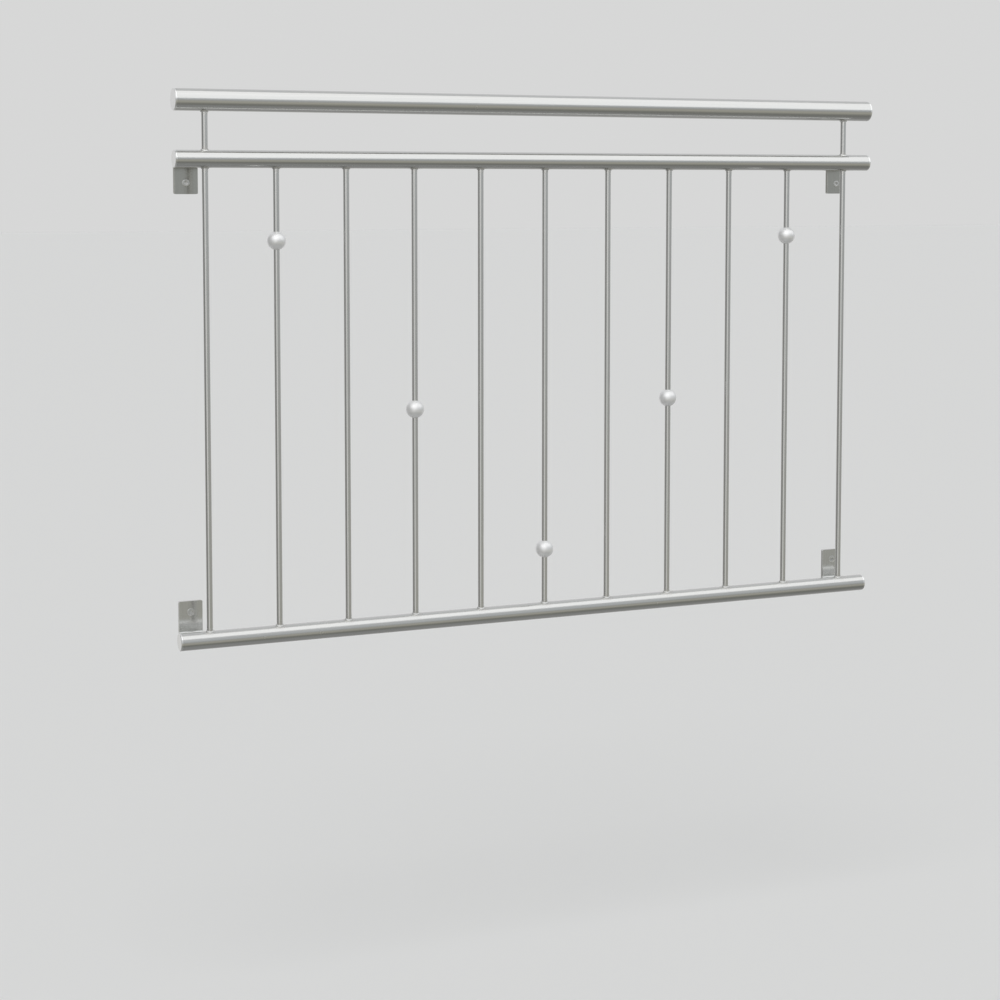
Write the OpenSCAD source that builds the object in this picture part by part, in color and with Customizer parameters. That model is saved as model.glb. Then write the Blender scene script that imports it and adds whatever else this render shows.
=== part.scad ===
// Juliet balcony railing: round stainless tubes and bars held on four wall brackets.
// Origin on the wall face of the lower left bracket, +X along the rails, +Y into the wall, +Z up.

/* [Overall] */
// Width over the end caps
overall_w = 1292; // [700:1:2400]
// Height from the underside of the lower rail to the top of the handrail
overall_h = 900; // [600:1:1200]
// Distance from the axes of the rails to the wall
standoff = 55; // [40:0.5:120]

/* [Rails] */
// Outside diameter of the handrail
handrail_d = 35.5; // [26:0.5:60]
// Outside diameter of the upper and lower rail
rail_d = 28.5; // [20:0.5:50]
// Wall thickness of the tubes
tube_wall = 1.5; // [1:0.1:4]
// Distance between the axes of the handrail and the upper rail
handrail_rise = 93.3; // [50:0.1:200]

/* [End caps] */
// Thickness of the rim that shows outside the tube
cap_rim = 3; // [1:0.5:8]
// Chamfer on the outer edge of the rim
cap_chamfer = 0.6; // [0.2:0.1:1.5]
// Chamfer on the rim's inner edge, which leaves a fine seam at the tube
cap_seam = 0.3; // [0.1:0.05:0.8]
// Length of the plug inside the tube
cap_plug = 14; // [5:1:40]
// Radial clearance of the plug in the tube
cap_fit = 0.15; // [0.05:0.05:0.5]

/* [Bars] */
// Diameter of the upright bars and of the handrail posts
bar_d = 10; // [6:0.5:20]
// Distance from the end of a rail to the axis of the first bar
bar_inset = 50.8; // [25:0.1:120]
// How much narrower the two end bays are than the others
end_bay_cut = 1.8; // [0:0.1:20]
// Root gap of the weld between a bar and a rail
weld_gap = 0.2; // [0.1:0.05:0.4]

/* [Balls] */
// Diameter of the balls on the bars
ball_d = 30.5; // [20:0.5:60]
// Radial clearance of a ball on its bar
ball_fit = 0.15; // [0.05:0.05:0.5]
// Height of the middle ball as a share of the distance between the rails
ball_low = 0.139; // [0.05:0.001:0.95]
// Height of the two balls beside it
ball_mid = 0.465; // [0.05:0.001:0.95]
// Height of the two outer balls
ball_high = 0.831; // [0.05:0.001:0.95]

/* [Brackets] */
// Distance from the end of a rail to the centre line of a bracket
bracket_inset = 32.5; // [20:0.5:300]
// Width of the bent flat bar
plate_w = 40; // [20:1:80]
// Thickness of the bent flat bar
plate_t = 6; // [3:0.5:12]
// Inside radius of the bend
bend_r = 4; // [2:0.5:20]
// Distance from the rail's axis to the free end of the wall leg
leg_reach = 56; // [40:0.5:120]
// Radius of the rolled edges of the flat bar
edge_r = 1.2; // [0.4:0.1:1.8]
// Radius of the corners at the free end of the wall leg
corner_r = 3; // [0.5:0.5:10]
// Distance from the rail's axis to the screw
screw_reach = 37.8; // [25:0.1:100]
// Distance from the free end of the lower left wall leg down to the origin
origin_drop = 8; // [3:0.5:14]

/* [Screws] */
// Diameter of the countersunk head
head_d = 12; // [8:0.5:20]
// Outside diameter of the threaded part behind the plate
thread_d = 6; // [4:0.5:10]
// How much the plain neck in the plate is cut down from the thread, all round
neck_relief = 0.3; // [0.1:0.05:0.6]
// Length that stands out behind the bracket for the wall plug
thread_out = 24; // [10:1:100]
// Width across the flats of the hexagon socket
socket_af = 4; // [2.5:0.5:8]
// Depth of the socket
socket_depth = 2.4; // [1:0.1:6]
// Radial clearance of the head and thread in the plate's hole
screw_fit = 0.2; // [0.1:0.05:0.6]

/* [Output] */
// The piece to show

/* [Hidden] */
$fn = 64;
bar_count = 11;
bar_span = overall_w - 2 * bar_inset;
bar_pitch = (bar_span + 2 * end_bay_cut) / (bar_count - 1);
rail_gap = overall_h - handrail_d / 2 - handrail_rise - rail_d / 2;
handrail_z = rail_gap + handrail_rise;
bracket_span = overall_w - 2 * bracket_inset;
neck_d = thread_d - 2 * neck_relief;
head_h = (head_d - neck_d) / 2;
sink_h = (head_d - thread_d) / 2;
wall_face_z = leg_reach - origin_drop;
steel = [0.72, 0.72, 0.70];
bar_steel = [0.66, 0.67, 0.66];
cap_steel = [0.62, 0.63, 0.62];
bracket_steel = [0.53, 0.53, 0.49];
screw_steel = [0.60, 0.61, 0.60];

// The axis of bar i, measured from the middle of the railing.
function bar_x(i) =
  i == 1 ? -bar_span / 2
  : i == bar_count ? bar_span / 2
  : (i - 1 - (bar_count - 1) / 2) * bar_pitch;

// Moves the axis of the lower rail, at the middle of the railing, to its place behind the origin.
module place() {
  translate([bracket_span / 2, -standoff, -wall_face_z])
    children();
}

// A solid rod along X, centred.
module rod_x(d, length) {
  rotate([0, 90, 0])
    cylinder(d = d, h = length, center = true);
}

module tube(d, z) {
  length = overall_w - 2 * cap_rim;
  place()
    translate([0, 0, z])
      difference() {
        rod_x(d, length);
        rod_x(d - 2 * tube_wall, length + 2);
      }
}

// An end cap: a chamfered disc with a plug that fills the end of the tube.
module end_cap(d, z, side) {
  plug_r = d / 2 - tube_wall - cap_fit;
  place()
    translate([side * (overall_w / 2 - cap_rim), 0, z])
      rotate([0, side * 90, 0])
        rotate_extrude($fn = 96)
          polygon([
            [0, -cap_plug],
            [plug_r - 1, -cap_plug],
            [plug_r, -cap_plug + 1],
            [plug_r, 0],
            [d / 2 - cap_seam, 0],
            [d / 2, cap_seam],
            [d / 2, cap_rim - cap_chamfer],
            [d / 2 - cap_chamfer, cap_rim],
            [0, cap_rim]
          ]);
}

// An upright rod between two rails, with its ends cut to sit on the tubes.
module upright(x, z0, d0, z1, d1) {
  place()
    translate([x, 0, 0])
      difference() {
        translate([0, 0, z0])
          cylinder(d = bar_d, h = z1 - z0);
        translate([0, 0, z0])
          rod_x(d0 + 2 * weld_gap, 3 * bar_d);
        translate([0, 0, z1])
          rod_x(d1 + 2 * weld_gap, 3 * bar_d);
      }
}

module bar(i) {
  color(bar_steel)
    upright(bar_x(i), 0, rail_d, rail_gap, rail_d);
}

module handrail_post(i) {
  color(bar_steel)
    upright(bar_x(i), rail_gap, rail_d, handrail_z, handrail_d);
}

module ball(i, share) {
  color(steel)
    place()
      translate([bar_x(i), 0, share * rail_gap])
        difference() {
          sphere(d = ball_d);
          cylinder(d = bar_d + 2 * ball_fit, h = 2 * ball_d, center = true);
        }
}

// The flat bar's section with its rolled edges, from the wall side out, centred across.
module flat_section() {
  translate([edge_r, -plate_w / 2])
    square([plate_t - 2 * edge_r, plate_w]);
  translate([0, edge_r - plate_w / 2])
    square([plate_t, plate_w - 2 * edge_r]);
  for (a = [edge_r, plate_t - edge_r], b = [edge_r - plate_w / 2, plate_w / 2 - edge_r])
    translate([a, b])
      circle(r = edge_r);
}

// The bent flat bar: a leg to the rail, the bend, and a leg up the wall.
module bent_bar() {
  bend_y = standoff - plate_t - bend_r;
  bend_z = plate_t / 2 + bend_r;
  translate([0, bend_y, -plate_t / 2])
    rotate([90, 0, 0])
      linear_extrude(height = bend_y)
        rotate(90)
          flat_section();
  translate([0, bend_y, bend_z])
    rotate([0, -90, 0])
      rotate([0, 0, 90])
        rotate_extrude(angle = 90, $fn = 96)
          translate([bend_r, 0])
            flat_section();
  translate([0, standoff, bend_z])
    linear_extrude(height = leg_reach - bend_z)
      rotate(-90)
        flat_section();
}

// The bracket's front view, with the corners rounded at the free end.
module bracket_outline() {
  translate([-plate_w / 2, -plate_t])
    square([plate_w, plate_t + leg_reach - corner_r]);
  translate([corner_r - plate_w / 2, 0])
    square([plate_w - 2 * corner_r, leg_reach]);
  for (side = [-1, 1])
    translate([side * (plate_w / 2 - corner_r), leg_reach - corner_r])
      circle(r = corner_r);
}

// The countersunk hole along Y, open at both faces of the plate.
module screw_hole() {
  rotate([-90, 0, 0]) {
    translate([0, 0, -1])
      cylinder(r1 = head_d / 2 + screw_fit + 1, r2 = thread_d / 2 + screw_fit, h = sink_h + 1);
    cylinder(d = thread_d + 2 * screw_fit, h = plate_t + 1);
  }
}

// The screw's body along Y, head first: a 90 degree head, a plain neck and the threaded part.
module screw_body() {
  rotate([-90, 0, 0])
    rotate_extrude()
      polygon([
        [0, 0],
        [head_d / 2 - 0.2, 0],
        [head_d / 2, 0.2],
        [neck_d / 2, head_h],
        [neck_d / 2, plate_t],
        [thread_d / 2, plate_t],
        [thread_d / 2, plate_t + thread_out - 1],
        [thread_d / 2 - 1, plate_t + thread_out],
        [0, plate_t + thread_out]
      ]);
}

module bracket(side, z, up) {
  color(bracket_steel)
    place()
      translate([side * bracket_span / 2, 0, z])
        mirror([0, 0, up > 0 ? 0 : 1])
          difference() {
            intersection() {
              bent_bar();
              translate([0, standoff + 1, 0])
                rotate([90, 0, 0])
                  linear_extrude(height = standoff + 2)
                    bracket_outline();
            }
            rod_x(rail_d + 2 * weld_gap, 2 * plate_w);
            translate([0, standoff - plate_t, screw_reach])
              screw_hole();
          }
}

module screw(side, z, up) {
  color(screw_steel)
    place()
      translate([side * bracket_span / 2, standoff - plate_t, z + up * screw_reach])
        difference() {
          screw_body();
          translate([0, socket_depth, 0])
            rotate([90, 0, 0])
              cylinder(d = socket_af / cos(30), h = socket_depth + 1, $fn = 6);
        }
}

module handrail() {
  color(steel)
    tube(handrail_d, handrail_z);
}

module upper_rail() {
  color(steel)
    tube(rail_d, rail_gap);
}

module lower_rail() {
  color(steel)
    tube(rail_d, 0);
}

module handrail_cap(side) {
  color(cap_steel)
    end_cap(handrail_d, handrail_z, side);
}

module upper_rail_cap(side) {
  color(cap_steel)
    end_cap(rail_d, rail_gap, side);
}

module lower_rail_cap(side) {
  color(cap_steel)
    end_cap(rail_d, 0, side);
}

handrail();
upper_rail();
lower_rail();
handrail_cap(-1);  // handrail_cap_left
handrail_cap(1);  // handrail_cap_right
upper_rail_cap(-1);  // upper_rail_cap_left
upper_rail_cap(1);  // upper_rail_cap_right
lower_rail_cap(-1);  // lower_rail_cap_left
lower_rail_cap(1);  // lower_rail_cap_right
handrail_post(1);  // handrail_post_left
handrail_post(bar_count);  // handrail_post_right
bar(1);  // bar_01
bar(2);  // bar_02
bar(3);  // bar_03
bar(4);  // bar_04
bar(5);  // bar_05
bar(6);  // bar_06
bar(7);  // bar_07
bar(8);  // bar_08
bar(9);  // bar_09
bar(10);  // bar_10
bar(11);  // bar_11
ball(2, ball_high);  // ball_on_bar_02
ball(4, ball_mid);  // ball_on_bar_04
ball(6, ball_low);  // ball_on_bar_06
ball(8, ball_mid);  // ball_on_bar_08
ball(10, ball_high);  // ball_on_bar_10
bracket(-1, rail_gap, -1);  // bracket_upper_left
bracket(1, rail_gap, -1);  // bracket_upper_right
bracket(-1, 0, 1);  // bracket_lower_left
bracket(1, 0, 1);  // bracket_lower_right
screw(-1, rail_gap, -1);  // screw_upper_left
screw(1, rail_gap, -1);  // screw_upper_right
screw(-1, 0, 1);  // screw_lower_left
screw(1, 0, 1);  // screw_lower_right
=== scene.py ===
import bmesh
import bpy
import math
import numpy as np
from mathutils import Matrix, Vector


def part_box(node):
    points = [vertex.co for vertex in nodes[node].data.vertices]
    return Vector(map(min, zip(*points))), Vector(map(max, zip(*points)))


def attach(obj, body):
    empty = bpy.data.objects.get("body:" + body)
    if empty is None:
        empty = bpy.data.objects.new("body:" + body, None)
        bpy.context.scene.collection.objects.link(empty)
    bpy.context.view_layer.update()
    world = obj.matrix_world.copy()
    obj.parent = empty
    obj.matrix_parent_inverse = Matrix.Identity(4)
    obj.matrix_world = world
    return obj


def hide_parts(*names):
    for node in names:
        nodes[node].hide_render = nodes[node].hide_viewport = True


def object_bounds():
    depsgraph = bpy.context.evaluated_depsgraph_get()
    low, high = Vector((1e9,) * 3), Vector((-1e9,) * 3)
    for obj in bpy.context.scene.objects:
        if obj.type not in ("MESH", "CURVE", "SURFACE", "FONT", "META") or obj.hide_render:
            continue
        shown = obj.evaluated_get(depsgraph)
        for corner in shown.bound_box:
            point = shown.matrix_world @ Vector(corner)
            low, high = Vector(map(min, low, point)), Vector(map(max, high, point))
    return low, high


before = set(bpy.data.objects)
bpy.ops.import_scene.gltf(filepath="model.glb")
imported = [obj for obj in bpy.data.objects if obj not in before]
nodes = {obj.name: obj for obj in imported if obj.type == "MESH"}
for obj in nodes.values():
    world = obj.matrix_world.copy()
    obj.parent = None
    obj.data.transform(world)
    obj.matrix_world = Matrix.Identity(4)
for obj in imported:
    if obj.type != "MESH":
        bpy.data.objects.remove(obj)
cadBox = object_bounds()  # the CAD model's own box
boxCentre = (cadBox[0] + cadBox[1]) / 2
scene = bpy.context.scene
print("frame loaded,", len(nodes), "nodes")


def place(name):  # centre and half size of a node's box
    low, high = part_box(name)
    return (low + high) / 2, (high - low) / 2


lowerCentre, lowerHalf = place("lower_rail")
upperCentre, upperHalf = place("upper_rail")
handCentre, handHalf = place("handrail")
barNames = sorted(name for name in nodes if name.startswith("bar_"))  # from left to right
barPlaces = [place(name)[0] for name in barNames]
middleBar = barPlaces[len(barPlaces) // 2]
barRadius = place(barNames[0])[1].x
bayWidth = barPlaces[2].x - barPlaces[1].x  # an inner bay, the two end bays are a little narrower
brackets = [(level, side) for level in ("upper", "lower") for side in ("left", "right")]

# the camera stands left of the railing, a little under the handrail's height
cameraSetup = {
    "lens": 74.63,
    "sensor": 36.0,
    "shiftY": -0.15,
    "yaw": 23.5,  # degrees to the right of straight at the wall
    "pitch": 4.416,  # degrees down
    "fromLowerRail": (-1.484, -3.2199, 0.7255),  # from the middle of the lower rail's axis
    "clipEnd": 200,
}
cameraData = bpy.data.cameras.new("camera")
cameraData.lens = cameraSetup["lens"]
cameraData.sensor_width = cameraSetup["sensor"]
cameraData.shift_y = cameraSetup["shiftY"]
cameraData.clip_end = cameraSetup["clipEnd"]
camera = bpy.data.objects.new("camera", cameraData)
camera.location = lowerCentre + Vector(cameraSetup["fromLowerRail"])
yaw, pitch = math.radians(cameraSetup["yaw"]), math.radians(cameraSetup["pitch"])
lookAlong = Vector((math.sin(yaw) * math.cos(pitch), math.cos(yaw) * math.cos(pitch), -math.sin(pitch)))
camera.rotation_mode = "QUATERNION"
camera.rotation_quaternion = lookAlong.to_track_quat("-Z", "Y")
scene.collection.objects.link(camera)
scene.camera = camera
scene.view_settings.view_transform = "Standard"
print("camera set")


nodeStep = 180  # how far apart nodes stand in the editor


class Net:  # adds nodes to one tree and wires them
    def __init__(self, tree):
        self.tree = tree
        self.column = 0

    def add(self, kind, sockets=None, **settings):
        node = self.tree.nodes.new(kind)
        self.column += 1
        node.location = (nodeStep * self.column, 0)
        for key, value in settings.items():
            setattr(node, key, value)
        for key, value in (sockets or {}).items():
            self.feed(node.inputs[key], value)
        return node

    def feed(self, socket, value):  # a socket is linked, anything else is its own value
        if isinstance(value, bpy.types.NodeSocket):
            self.tree.links.new(value, socket)
        else:
            socket.default_value = value

    def math(self, operation, first, second=0.0, third=0.0):
        node = self.add("ShaderNodeMath", operation=operation)
        for index, value in enumerate((first, second, third)):
            self.feed(node.inputs[index], value)
        return node.outputs[0]

    def vector(self, operation, first, second=None):
        node = self.add("ShaderNodeVectorMath", operation=operation)
        self.feed(node.inputs[0], first)
        if second is not None:
            self.feed(node.inputs[1], second)
        return node.outputs["Value" if operation in ("DOT_PRODUCT", "LENGTH") else "Vector"]

    def span(self, value, low, high, toLow=0.0, toHigh=1.0, smooth=True):
        node = self.add("ShaderNodeMapRange", interpolation_type="SMOOTHSTEP" if smooth else "LINEAR")
        facts = {"Value": value, "From Min": low, "From Max": high, "To Min": toLow, "To Max": toHigh}
        for key, item in facts.items():
            self.feed(node.inputs[key], item)
        return node.outputs["Result"]

    def blend(self, share, first, second):  # colours are sockets or triples
        # where it mixes colours, inputs 6 and 7 are the two colours and output 2 is the result
        node = self.add("ShaderNodeMix", data_type="RGBA")
        self.feed(node.inputs["Factor"], share)
        for index, colour in ((6, first), (7, second)):
            self.feed(node.inputs[index], (*colour, 1) if isinstance(colour, tuple) else colour)
        return node.outputs[2]

    def noise(self, vector, facts):
        sockets = {"Scale": facts["scale"], "Detail": facts["detail"], "Roughness": facts["rough"]}
        return self.add("ShaderNodeTexNoise", {"Vector": vector, **sockets}).outputs["Fac"]

    def axes(self, vector):
        return self.add("ShaderNodeSeparateXYZ", {"Vector": vector}).outputs

    def ramp(self, value, stops):
        node = self.add("ShaderNodeValToRGB", {"Fac": value})
        elements = node.color_ramp.elements
        while len(elements) < len(stops):
            elements.new(0.5)
        for element, (position, colour) in zip(elements, stops):
            element.position = position
            element.color = (*colour, 1.0)
        return node.outputs["Color"]


floatKind, vectorKind = "NodeSocketFloat", "NodeSocketVector"


def newGroup(name, inputs, outputs):  # a shader node group with named sockets
    group = bpy.data.node_groups.new(name, "ShaderNodeTree")
    for label, kind, value in inputs:
        socket = group.interface.new_socket(name=label, in_out="INPUT", socket_type=kind)
        socket.default_value = value
    for label in outputs:
        group.interface.new_socket(name=label, in_out="OUTPUT", socket_type=floatKind)
    net = Net(group)
    return group, net, net.add("NodeGroupInput").outputs, net.add("NodeGroupOutput").inputs


# ground lines that run one way: two noises, stretched by the same vector
grindSetup = {
    "fine": {"scale": 1.0, "detail": 4.0, "rough": 0.65},
    "wide": {"scale": 0.21, "detail": 2.0, "rough": 0.5},
    "patches": {"scale": 9.0, "detail": 3.0, "rough": 0.55},
    "lineSpan": (0.3, 0.7),
    "patchSpan": (0.35, 0.7),
}
grindingLines, net, given, out = newGroup(
    "grindingLines",
    [
        ("Vector", vectorKind, (0, 0, 0)),
        ("Stretch", vectorKind, (20, 2000, 2000)),
        ("Coarse", floatKind, 0.35),
    ],
    ["Lines", "Patches"],
)
stretched = net.vector("MULTIPLY", given["Vector"], given["Stretch"])
fineLines = net.noise(stretched, grindSetup["fine"])
wideLines = net.noise(stretched, grindSetup["wide"])
mixed = net.math("MULTIPLY_ADD", net.math("SUBTRACT", wideLines, fineLines), given["Coarse"], fineLines)
net.feed(out["Lines"], net.span(mixed, *grindSetup["lineSpan"], smooth=False))
patches = net.noise(given["Vector"], grindSetup["patches"])
net.feed(out["Patches"], net.span(patches, *grindSetup["patchSpan"]))

# marks of hands and rain: broad soft smears, small round dried drops, and dust on what faces up
weatherSetup = {
    "smears": {"scale": 22.0, "detail": 4.0, "rough": 0.6},
    "smearSpan": (0.52, 0.75),
    "ringRadius": 0.22,  # of a dried drop, as a share of its size
    "ringSpan": (0.07, 0.015),
    "dropChance": (0.72, 0.78),  # cells under the first have no drop, over the second a full one
    "dust": {"scale": 60.0, "detail": 4.0, "rough": 0.6},
    "upSpan": (0.35, 0.95),
}
weathering, net, given, out = newGroup(
    "weathering",
    [("Vector", vectorKind, (0, 0, 0)), ("Drop Size", floatKind, 0.012)],
    ["Smears", "Drops", "Film"],
)
smears = net.noise(given["Vector"], weatherSetup["smears"])
net.feed(out["Smears"], net.span(smears, *weatherSetup["smearSpan"]))
cellScale = net.math("DIVIDE", 1.0, given["Drop Size"])
cells = net.add("ShaderNodeTexVoronoi", {"Vector": given["Vector"], "Scale": cellScale, "Randomness": 1.0})
chance = net.add("ShaderNodeSeparateColor", {"Color": cells.outputs["Color"]}).outputs[0]
ring = net.math("ABSOLUTE", net.math("SUBTRACT", cells.outputs["Distance"], weatherSetup["ringRadius"]))
ringMask = net.span(ring, *weatherSetup["ringSpan"])
net.feed(out["Drops"], net.math("MULTIPLY", ringMask, net.span(chance, *weatherSetup["dropChance"])))
facing = net.axes(net.add("ShaderNodeNewGeometry").outputs["Normal"])
upward = net.span(facing["Z"], *weatherSetup["upSpan"])
net.feed(out["Film"], net.math("MULTIPLY", upward, net.noise(given["Vector"], weatherSetup["dust"])))
print("node groups made")

steelLook = {
    "stretch": (6.0, 2600.0, 2600.0),  # small along the ground lines, large across them
    "coarse": 0.4,
    "dark": (0.66, 0.66, 0.645),
    "light": (0.76, 0.76, 0.745),
    "patch": (0.70, 0.705, 0.70),
    "patchShare": 0.35,
    "dropSize": 0.012,
    "drops": 0.10,
    "dropTone": (0.80, 0.80, 0.79),
    "dropRough": 0.5,
    "dust": 0.05,
    "dustTone": (0.62, 0.60, 0.56),
    "dustRough": 0.35,
    "rough": 0.15,
    "lineRough": 0.07,
    "smearRough": 0.05,
    "bump": 0.05,
    "lineDepth": 0.00004,
    "metallic": 1.0,
    "halo": (0.60, 0.585, 0.55),  # tint beside a weld
    "haloShare": 0.35,
    "haloRough": 0.14,
    "haloSpan": (0.009, 0.002),  # distance from the joint where the tint ends, and where it is full
}


def steel(name, distanceToWeld=None, **changes):
    # ground stainless steel: the lines tilt the normal and vary the roughness, and marks and dust dull it
    look = {**steelLook, **changes}
    material = bpy.data.materials.new(name)
    material.use_nodes = True
    tree = material.node_tree
    tree.nodes.clear()
    net = Net(tree)
    objectPlace = net.add("ShaderNodeTexCoord").outputs["Object"]
    given = {"Vector": objectPlace, "Stretch": look["stretch"], "Coarse": look["coarse"]}
    lines = net.add("ShaderNodeGroup", node_tree=grindingLines)
    for key, value in given.items():
        net.feed(lines.inputs[key], value)
    marks = net.add("ShaderNodeGroup", node_tree=weathering)
    net.feed(marks.inputs["Vector"], objectPlace)
    net.feed(marks.inputs["Drop Size"], look["dropSize"])
    lines, marks = lines.outputs, marks.outputs
    dustShare = net.math("MULTIPLY", marks["Film"], look["dust"])
    colour = net.blend(lines["Lines"], look["dark"], look["light"])
    colour = net.blend(net.math("MULTIPLY", lines["Patches"], look["patchShare"]), colour, look["patch"])
    colour = net.blend(dustShare, colour, look["dustTone"])
    colour = net.blend(net.math("MULTIPLY", marks["Drops"], look["drops"]), colour, look["dropTone"])
    rough = net.math("MULTIPLY_ADD", lines["Lines"], look["lineRough"], look["rough"])
    rough = net.math("MULTIPLY_ADD", marks["Smears"], look["smearRough"], rough)
    rough = net.math("MULTIPLY_ADD", marks["Drops"], look["drops"] * look["dropRough"], rough)
    rough = net.math("MULTIPLY_ADD", dustShare, look["dustRough"], rough)
    if distanceToWeld is not None:
        halo = net.span(distanceToWeld(net, objectPlace), *look["haloSpan"])
        rough = net.math("MULTIPLY_ADD", halo, look["haloRough"], rough)
        colour = net.blend(net.math("MULTIPLY", halo, look["haloShare"]), colour, look["halo"])
    relief = {"Height": lines["Lines"], "Strength": look["bump"], "Distance": look["lineDepth"]}
    normal = net.add("ShaderNodeBump", relief).outputs["Normal"]
    finish = {"Base Color": colour, "Metallic": look["metallic"], "Roughness": rough, "Normal": normal}
    shader = net.add("ShaderNodeBsdfPrincipled", finish)
    net.add("ShaderNodeOutputMaterial", {"Surface": shader.outputs["BSDF"]})
    return material


def nearBars(jointHeight):  # distance from the feet of the bars on one side of a rail, folded over one bay
    # the fold starts whole bays left of the middle bar, so that every place is past it
    foldStart = middleBar.x - 20 * bayWidth

    def distance(net, objectPlace):
        axes = net.axes(objectPlace)
        foot = net.add("ShaderNodeCombineXYZ")
        shifted = net.math("SUBTRACT", axes["X"], foldStart)
        net.feed(foot.inputs["X"], net.math("PINGPONG", shifted, bayWidth / 2))
        net.feed(foot.inputs["Y"], net.math("SUBTRACT", axes["Y"], lowerCentre.y))
        net.feed(foot.inputs["Z"], net.math("SUBTRACT", axes["Z"], jointHeight))
        return net.math("SUBTRACT", net.vector("LENGTH", foot.outputs["Vector"]), barRadius)

    return distance


def nearRails(net, objectPlace):  # distance along a bar to the nearest rail
    height = net.axes(objectPlace)["Z"]
    gaps = [
        net.math("SUBTRACT", net.math("ABSOLUTE", net.math("SUBTRACT", height, centre.z)), half.z)
        for centre, half in ((lowerCentre, lowerHalf), (upperCentre, upperHalf), (handCentre, handHalf))
    ]
    return net.math("MINIMUM", gaps[0], net.math("MINIMUM", gaps[1], gaps[2]))


ballLook = {
    "stretch": (700.0, 700.0, 1600.0),
    "rough": 0.34,
    "metallic": 0.6,  # partly dull
    "dark": (0.85, 0.85, 0.85),
    "light": (0.91, 0.91, 0.91),
    "patch": (0.88, 0.88, 0.88),
}
capLook = {
    "stretch": (40.0, 1500.0, 1500.0),
    "rough": 0.2,
    "dark": (0.87, 0.87, 0.86),
    "light": (0.95, 0.95, 0.94),
    "patch": (0.9, 0.9, 0.9),
}
# one flat bar steel in two copies: the upper brackets get a darker, warmer tone as painted shade, the lower
# brackets a lighter tone as painted light
shadedUpperBracketLook = {
    "stretch": (1800.0, 60.0, 60.0),  # the lines run up and down the flat bar
    "rough": 0.14,
    "dark": (0.48, 0.48, 0.445),
    "light": (0.57, 0.57, 0.535),
    "patch": (0.53, 0.53, 0.50),
}
litLowerBracketLook = {
    "stretch": (1800.0, 60.0, 60.0),
    "rough": 0.12,
    "dark": (0.64, 0.645, 0.625),
    "light": (0.76, 0.765, 0.75),
    "patch": (0.70, 0.705, 0.69),
}
barLook = {"stretch": (2600.0, 2600.0, 6.0), "dropSize": 0.009}
screwLook = {"stretch": (900.0, 900.0, 900.0), "rough": 0.24}
weldLook = {"stretch": (500.0, 500.0, 500.0), "rough": 0.26, "bump": 0.3}

barSteel = steel("satin_steel_bar", nearRails, **barLook)
weldSteel = steel("weld_bead_steel", **weldLook)
materials = {  # a node gets the first one whose word its name holds
    # the upper and lower brackets take the shaded and the lit copy of the same flat bar steel
    "bracket_upper": steel("flat_bar_steel_upper_painted_shade", **shadedUpperBracketLook),
    "bracket_lower": steel("flat_bar_steel_lower_painted_light", **litLowerBracketLook),
    "screw": steel("screw_steel", **screwLook),
    "ball": steel("turned_steel_ball", **ballLook),
    "cap": steel("turned_steel_cap", **capLook),
    "post": barSteel,
    "handrail": steel("satin_steel_handrail"),
    "upper_rail": steel("satin_steel_upper_rail", nearBars(upperCentre.z - upperHalf.z)),
    "lower_rail": steel("satin_steel_lower_rail", nearBars(lowerCentre.z + lowerHalf.z)),
    "bar": barSteel,
}
for nodeName, nodeObject in nodes.items():
    word = next(word for word in materials if word in nodeName)
    nodeObject.data.materials.clear()
    nodeObject.data.materials.append(materials[word])
print("steel materials given to the nodes")

surfaceSetup = {"mergeWithin": 1e-7, "sharpFrom": 38.0}  # metres, degrees


def surface(name, sheets, material):
    # each sheet is a grid of points, rows by columns, closed across its columns
    # its rows close too or end in a point, and "turned" tells which way round its faces go
    points, faces, start = [], [], 0
    for grid, closeRows, turned in sheets:
        rows, columns = grid.shape[:2]
        index = np.arange(rows * columns).reshape(rows, columns) + start
        if closeRows:
            index = np.vstack([index, index[:1]])
        index = np.hstack([index, index[:, :1]])
        quads = np.stack([index[:-1, :-1], index[:-1, 1:], index[1:, 1:], index[1:, :-1]], -1).reshape(-1, 4)
        faces.append(quads if turned else quads[:, ::-1])
        points.append(grid.reshape(-1, 3))
        start += rows * columns
    mesh = bpy.data.meshes.new(name)
    mesh.from_pydata(np.concatenate(points).tolist(), [], np.concatenate(faces).tolist())
    shape = bmesh.new()
    shape.from_mesh(mesh)
    # a row of radius 0 becomes one point
    bmesh.ops.remove_doubles(shape, verts=shape.verts, dist=surfaceSetup["mergeWithin"])
    shape.to_mesh(mesh)
    shape.free()
    mesh.validate()
    mesh.polygons.foreach_set("use_smooth", np.ones(len(mesh.polygons), bool))
    mesh.set_sharp_from_angle(angle=math.radians(surfaceSetup["sharpFrom"]))
    piece = bpy.data.objects.new(name, mesh)
    scene.collection.objects.link(piece)
    mesh.materials.append(material)
    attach(piece, "root")
    return piece


weldSetup = {
    "leg": 0.0016,  # reach along each of the two surfaces
    "ripple": 0.07,  # share by which the leg swells and shrinks
    "ripplePitch": 0.0013,
    "crown": 0.00035,  # how far the bead's face swells
    "crownRipple": 0.35,
    "crownLag": 0.8,  # radians
    "facePoints": 8,
    # out from the joined member's side and up from the tube's surface
    "rootPoints": ((0.0009, -0.0009), (-0.00045, -0.0012), (-0.0006, 0.0004)),
    "tubeShare": 0.999,  # how far to the tube's side a bead may reach, as a share of its radius
    "circlePoints": 72,
    "slabHalfHeight": 0.003,
    "slabCorner": 0.0012,
    "cornerPoints": 7,
    "runPoints": 34,
}


def circleOutline(radius):  # a circle and its outward normals
    angle = np.linspace(0, 2 * np.pi, weldSetup["circlePoints"], endpoint=False)
    outward = np.stack([np.cos(angle), np.sin(angle)], 1)
    return outward * radius, outward


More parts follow.
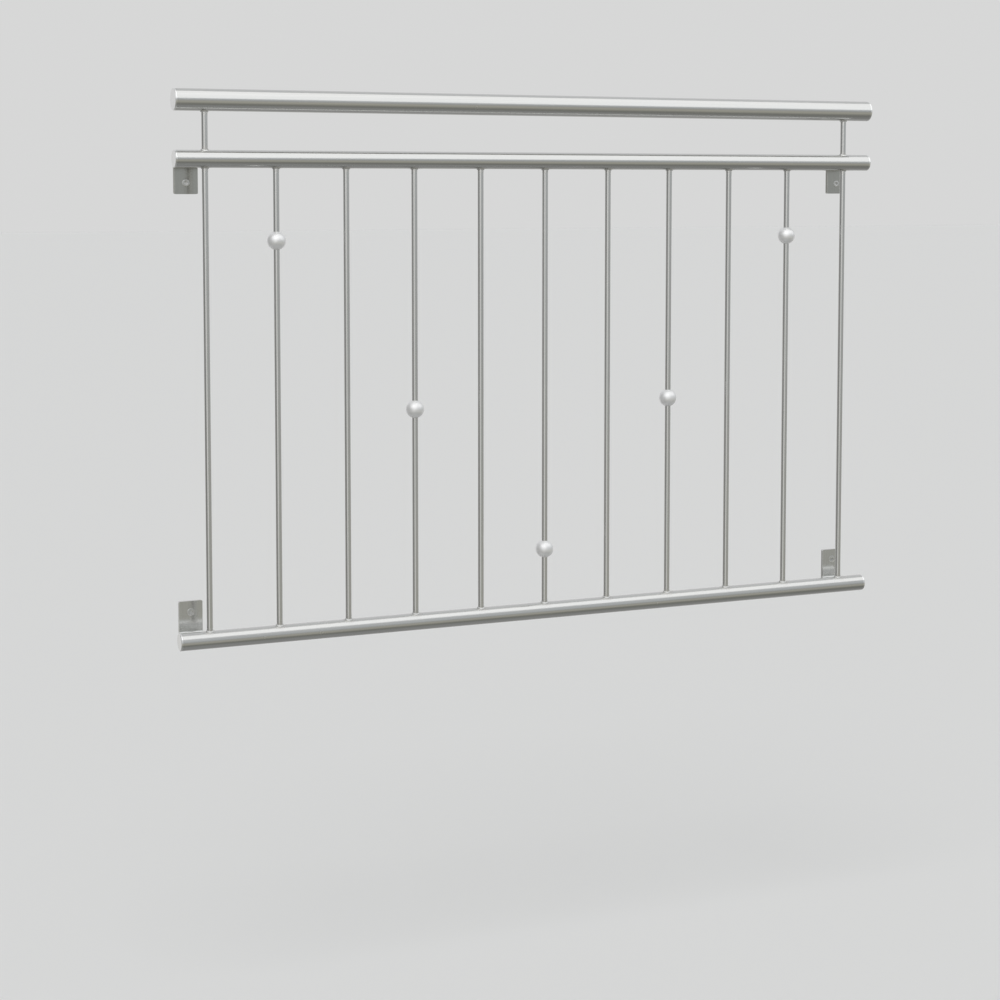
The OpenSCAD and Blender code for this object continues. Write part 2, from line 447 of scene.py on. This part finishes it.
def slabOutline(halfWidth):
    # a rounded rectangle: four quarter circles, with points along the two long runs between them
    halfHeight, corner = weldSetup["slabHalfHeight"], weldSetup["slabCorner"]
    each = weldSetup["cornerPoints"]
    quarter = np.linspace(0, np.pi / 2, each)
    angle = np.concatenate([quarter + turn * np.pi / 2 for turn in range(4)])
    outward = np.stack([np.cos(angle), np.sin(angle)], 1)
    signs = np.repeat(np.array([[1, 1], [-1, 1], [-1, -1], [1, -1]]), each, 0)
    loop = signs * [[halfWidth - corner, halfHeight - corner]] + outward * corner
    share = np.linspace(0, 1, weldSetup["runPoints"], endpoint=False)[1:, None]
    topRun = loop[each - 1] + (loop[each] - loop[each - 1]) * share
    bottomRun = loop[3 * each - 1] + (loop[3 * each] - loop[3 * each - 1]) * share
    points = np.concatenate([loop[:each], topRun, loop[each:3 * each], bottomRun, loop[3 * each:]])
    up, down = np.tile([[0, 1]], (len(share), 1)), np.tile([[0, -1]], (len(share), 1))
    normals = np.concatenate([outward[:each], up, outward[each:3 * each], down, outward[3 * each:]])
    return points, normals


def weldGrid(outline, outward, tubeRadius, axes, tubeCentre):
    # outline: closed loop in the plane across the joined member; outward: its normals
    # the tube's surface over a point (x, b) is sqrt(tubeRadius^2 - b^2) from its axis
    # the bead's section runs from the member's side, over a swollen face, to the tube
    # and back through the root
    steps = np.roll(outline, -1, 0) - outline
    travelled = np.concatenate([[0], np.cumsum(np.linalg.norm(steps, axis=1))])[:-1]
    length = travelled[-1] + np.linalg.norm(steps[-1])
    waves = max(3, round(length / weldSetup["ripplePitch"]))
    phase = travelled / length * waves
    leg = weldSetup["leg"] * (1 + weldSetup["ripple"] * np.sin(2 * np.pi * phase))[:, None]
    face = np.linspace(0, 1, weldSetup["facePoints"])[None, :]
    crownWave = 1 + weldSetup["crownRipple"] * np.sin(2 * np.pi * phase + weldSetup["crownLag"])
    swell = weldSetup["crown"] * np.sin(np.pi * face) * crownWave[:, None]
    rootSide, rootUp = np.tile(np.array(weldSetup["rootPoints"]).T[:, None, :], (1, len(outline), 1))
    side = np.concatenate([leg * face + swell, rootSide], 1)
    up = np.concatenate([leg * (1 - face) + swell, rootUp], 1)
    plane = outline[:, None, :] + outward[:, None, :] * side[..., None]
    widest = tubeRadius * weldSetup["tubeShare"]
    across = np.clip(plane[..., 1], -widest, widest)
    height = np.sqrt(tubeRadius**2 - across**2) + up
    along, b, a = (np.array(axis, float) for axis in axes)
    grid = np.array(tubeCentre, float) + plane[..., :1] * along + plane[..., 1:] * b + height[..., None] * a
    turned = np.linalg.det(np.array([along, b, a])) > 0
    return grid, True, turned


xAxis, yAxis, zAxis = (1, 0, 0), (0, 1, 0), (0, 0, 1)
tubes = {
    "lower": (lowerCentre, lowerHalf.z),
    "upper": (upperCentre, upperHalf.z),
    "hand": (handCentre, handHalf.z),
}


def barWeld(tubeName, x, up):  # up is 1 where the bar stands on the tube, -1 where it hangs under it
    centre, radius = tubes[tubeName]
    outline = circleOutline(barRadius)
    return weldGrid(*outline, radius, (xAxis, yAxis, (0, 0, up)), (x, centre.y, centre.z))


def bracketWeld(level, side):  # round the bracket's leg, on the back of its rail
    middle, half = place("bracket_%s_%s" % (level, side))
    centre, radius = tubes[level]
    outline = slabOutline(half.x)
    return weldGrid(*outline, radius, (xAxis, zAxis, yAxis), (middle.x, centre.y, centre.z))


barXs = [spot.x for spot in barPlaces]
postXs = [barXs[0], barXs[-1]]
upperWelds = [barWeld("upper", x, -1) for x in barXs] + [barWeld("upper", x, 1) for x in postXs]
surface("weld_beads_lower_rail", [barWeld("lower", x, 1) for x in barXs], weldSteel)
surface("weld_beads_upper_rail", upperWelds, weldSteel)
surface("weld_beads_handrail", [barWeld("hand", x, -1) for x in postXs], weldSteel)
surface("weld_beads_brackets", [bracketWeld(*spot) for spot in brackets], weldSteel)
print("weld beads laid")

screwSetup = {
    "headRadius": 0.006,
    "neckRadius": 0.0027,
    "neckEnd": 0.006,
    "socketAcross": 0.004,
    "socketDepth": 0.0024,
    "socketFloor": 0.97,  # size of the socket's floor, as a share of the socket's
    "drillRadius": 0.8,  # of the drill's cone under the floor, as a share of the socket's
    "socketPoint": 0.0006,  # depth of that cone
    "bevel": 0.0001,  # size of the smallest bevels
    "crest": 0.003,
    "root": 0.0024,
    "pitch": 0.001,
    "ridge": (1.5, -0.2),  # slope and offset that flatten crests and grooves
    "runOut": 0.0012,  # length over which the thread starts and ends
    "tip": 0.0018,  # radius of the flat end
    "tipLength": 0.0004,
    "columns": 36,
    "rowsPerTurn": 9,
}


def screwGrid(axisPoint, length):
    # one grid from the socket's floor to the tip: distance from the axis as a function of angle and row
    # the socket is a hexagon: half its width over the cosine of the angle from the nearest side's middle
    # the thread is a ridge that climbs one pitch each turn, its height 1 at a crest and 0 in a groove
    facts = screwSetup
    angle = np.linspace(0, 2 * np.pi, facts["columns"], endpoint=False)
    flat, bevel = facts["socketAcross"] / 2, facts["bevel"]
    hexagon = flat / np.cos((angle + np.pi / 6) % (np.pi / 3) - np.pi / 6)
    corner = flat / math.cos(math.pi / 6)
    head, neck, depth = facts["headRadius"], facts["neckRadius"], facts["socketDepth"]
    cone = head - neck  # the countersink is about as deep as it is wide
    ring = np.ones_like(angle)
    headRows = [  # distance from the axis, and depth under the head's face
        (ring * 0, depth + facts["socketPoint"]),
        (ring * flat * facts["drillRadius"], depth + bevel / 2),
        (hexagon * facts["socketFloor"], depth),
        (hexagon, depth - bevel),
        (hexagon, 4 * bevel),
        ((hexagon + corner + bevel) / 2, bevel),
        (ring * (corner + 2 * bevel), 0.0),
        (ring * (head - 4 * bevel), 0.0),
        (ring * (head - bevel), bevel),
        (ring * head, 3 * bevel),
        (ring * head, 4.5 * bevel),
        (ring * (neck + 2 * bevel), cone + 3 * bevel),
        (ring * neck, cone + 6 * bevel),
        (ring * neck, facts["neckEnd"] - 3 * bevel),
    ]
    rowCount = int((length - facts["neckEnd"]) / facts["pitch"] * facts["rowsPerTurn"])
    y = np.linspace(facts["neckEnd"], length - facts["tipLength"], rowCount)[:, None]
    wave = np.abs(((y / facts["pitch"] - angle[None] / (2 * np.pi)) % 1) * 2 - 1)
    slope, offset = facts["ridge"]
    starts = np.clip((y - facts["neckEnd"]) / facts["runOut"], 0, 1)
    ends = np.clip((length - y) / facts["runOut"], 0, 1)
    ridge = np.clip(wave * slope + offset, 0, 1) * starts * ends
    thread = facts["root"] + (facts["crest"] - facts["root"]) * ridge
    tipRows = [ring * facts["tip"], ring * 0]
    radius = np.concatenate([np.array([row[0] for row in headRows]), thread, tipRows])
    depths = np.concatenate([[row[1] for row in headRows], y[:, 0], [length, length]])[:, None] * ring[None]
    grid = np.stack([radius * np.cos(angle), depths, radius * np.sin(angle)], -1)
    return grid + np.array(axisPoint, float), False, False


for level, side in brackets:
    nodeName = "screw_%s_%s" % (level, side)
    middle, half = place(nodeName)
    headFace = (middle.x, middle.y - half.y, middle.z)
    sheet = screwGrid(headFace, 2 * half.y)
    piece = surface("threaded_" + nodeName, [sheet], materials["screw"])
    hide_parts(nodeName)
print("screws turned")

stageSetup = {
    "floorDrop": 0.55,  # under the lowest point of the railing
    "floorColour": (0.80, 0.80, 0.79),
    "floorRough": 0.9,
    "floorReach": 60.0,
    "background": (0.68, 0.682, 0.68),
    "sunEnergy": 0.80,
    "sunAngle": 40.0,
    "sunAlong": (0.25, 0.35, -1.0),
}
corners = np.array([(-1, -1), (1, -1), (1, 1), (-1, 1)]) * stageSetup["floorReach"]
floorMesh = bpy.data.meshes.new("floor")
floorPlan = corners + [boxCentre.x, boxCentre.y]
floorPoints = np.column_stack([floorPlan, np.full(4, cadBox[0].z - stageSetup["floorDrop"])])
floorMesh.from_pydata(floorPoints.tolist(), [], [(0, 1, 2, 3)])
floor = bpy.data.objects.new("floor", floorMesh)
scene.collection.objects.link(floor)
floorMaterial = bpy.data.materials.new("pale_floor")
floorMaterial.use_nodes = True
floorShader = floorMaterial.node_tree.nodes["Principled BSDF"]
floorShader.inputs["Base Color"].default_value = (*stageSetup["floorColour"], 1)
floorShader.inputs["Roughness"].default_value = stageSetup["floorRough"]
floorMesh.materials.append(floorMaterial)
floor.visible_glossy = False

# tones of the studio round the railing, by the height of the direction: -1 straight down, 1 straight up
frontTones = [
    (-1.0, (0.27, 0.275, 0.27)),
    (-0.90, (0.28, 0.285, 0.28)),
    (-0.77, (0.205, 0.205, 0.19)),
    (-0.66, (0.215, 0.215, 0.20)),
    (-0.54, (0.31, 0.31, 0.27)),
    (-0.38, (0.42, 0.41, 0.36)),
    (-0.24, (0.40, 0.395, 0.35)),
    (-0.10, (0.38, 0.385, 0.38)),
    (0.05, (0.48, 0.50, 0.51)),
    (0.25, (0.52, 0.54, 0.55)),
    (0.55, (0.55, 0.56, 0.57)),
    (1.0, (0.58, 0.585, 0.59)),
]
backTones = [
    (-1.0, (0.27, 0.27, 0.27)),
    (-0.5, (0.42, 0.42, 0.41)),
    (-0.3, (0.66, 0.66, 0.65)),
    (0.0, (0.70, 0.70, 0.70)),
    (0.3, (0.70, 0.70, 0.71)),
    (0.8, (0.64, 0.65, 0.66)),
    (1.0, (0.58, 0.585, 0.59)),
]
backFrom, backFull = 0.02, 0.35  # how far back a direction points where the back tones start and are full
# soft cards: the direction they stand in, the cosines to their edge and core, how much they cover, their tone
cards = [
    {"toward": (-0.94, 0.34, 0.0), "edge": 0.64, "core": 0.84, "share": 0.8, "tone": (0.19, 0.19, 0.185)},
    {"toward": (-0.56, -0.83, 0.0), "edge": 0.90, "core": 0.98, "share": 0.9, "tone": (0.82, 0.82, 0.81)},
    {
        "toward": (-0.397, -0.852, 0.342),
        "edge": 0.79,
        "core": 0.95,
        "share": 0.9,
        "tone": (1.1, 1.1, 1.1),
        "above": (0.0, 0.15),  # fades in over level, so the balls mirror it and the upright bars hardly do
    },
]
world = bpy.data.worlds.new("studio")
scene.world = world
world.use_nodes = True
world.node_tree.nodes.clear()
net = Net(world.node_tree)
direction = net.vector("NORMALIZE", net.add("ShaderNodeTexCoord").outputs["Generated"])
parts = net.axes(direction)
heightShare = net.span(parts["Z"], -1.0, 1.0, smooth=False)
frontLight = net.ramp(heightShare, [((height + 1) / 2, tone) for height, tone in frontTones])
backLight = net.ramp(heightShare, [((height + 1) / 2, tone) for height, tone in backTones])
around = net.blend(net.span(parts["Y"], backFrom, backFull), frontLight, backLight)
for card in cards:
    facing = net.vector("DOT_PRODUCT", direction, card["toward"])
    share = net.span(facing, card["edge"], card["core"], 0.0, card["share"])
    if "above" in card:
        share = net.math("MULTIPLY", share, net.span(parts["Z"], *card["above"]))
    around = net.blend(share, around, card["tone"])
eye = net.add("ShaderNodeLightPath").outputs["Is Camera Ray"]
shown = net.blend(eye, around, stageSetup["background"])
worldShader = net.add("ShaderNodeBackground", {"Color": shown, "Strength": 1.0})
net.add("ShaderNodeOutputWorld", {"Surface": worldShader.outputs["Background"]})


def lamp(name, kind, along):  # a light that shines along a direction
    light = bpy.data.objects.new(name, bpy.data.lights.new(name, kind))
    light.rotation_mode = "QUATERNION"
    light.rotation_quaternion = Vector(along).to_track_quat("-Z", "Y")
    scene.collection.objects.link(light)
    return light


floorSun = lamp("floor_sun", "SUN", stageSetup["sunAlong"])  # for the floor, the steel doesn't mirror it
floorSun.data.energy = stageSetup["sunEnergy"]
floorSun.data.angle = math.radians(stageSetup["sunAngle"])
floorSun.visible_glossy = False

overheadSetup = {
    "size": (6.0, 1.54),
    "fromLowerRail": (0.0, -0.74, 1.22),  # in front of the rails and above the handrail
    "radiance": 0.57,
}
overhead = lamp("overhead", "AREA", (0.0, 0.0, -1.0))  # seen only in reflections
width, depth = overheadSetup["size"]
overhead.data.shape = "RECTANGLE"
overhead.data.size, overhead.data.size_y = width, depth
overhead.data.energy = overheadSetup["radiance"] * math.pi * width * depth
railFront = Vector((boxCentre.x, lowerCentre.y, lowerCentre.z))
overhead.location = railFront + Vector(overheadSetup["fromLowerRail"])
overhead.visible_camera = False
overhead.visible_diffuse = False
print("stage lit")
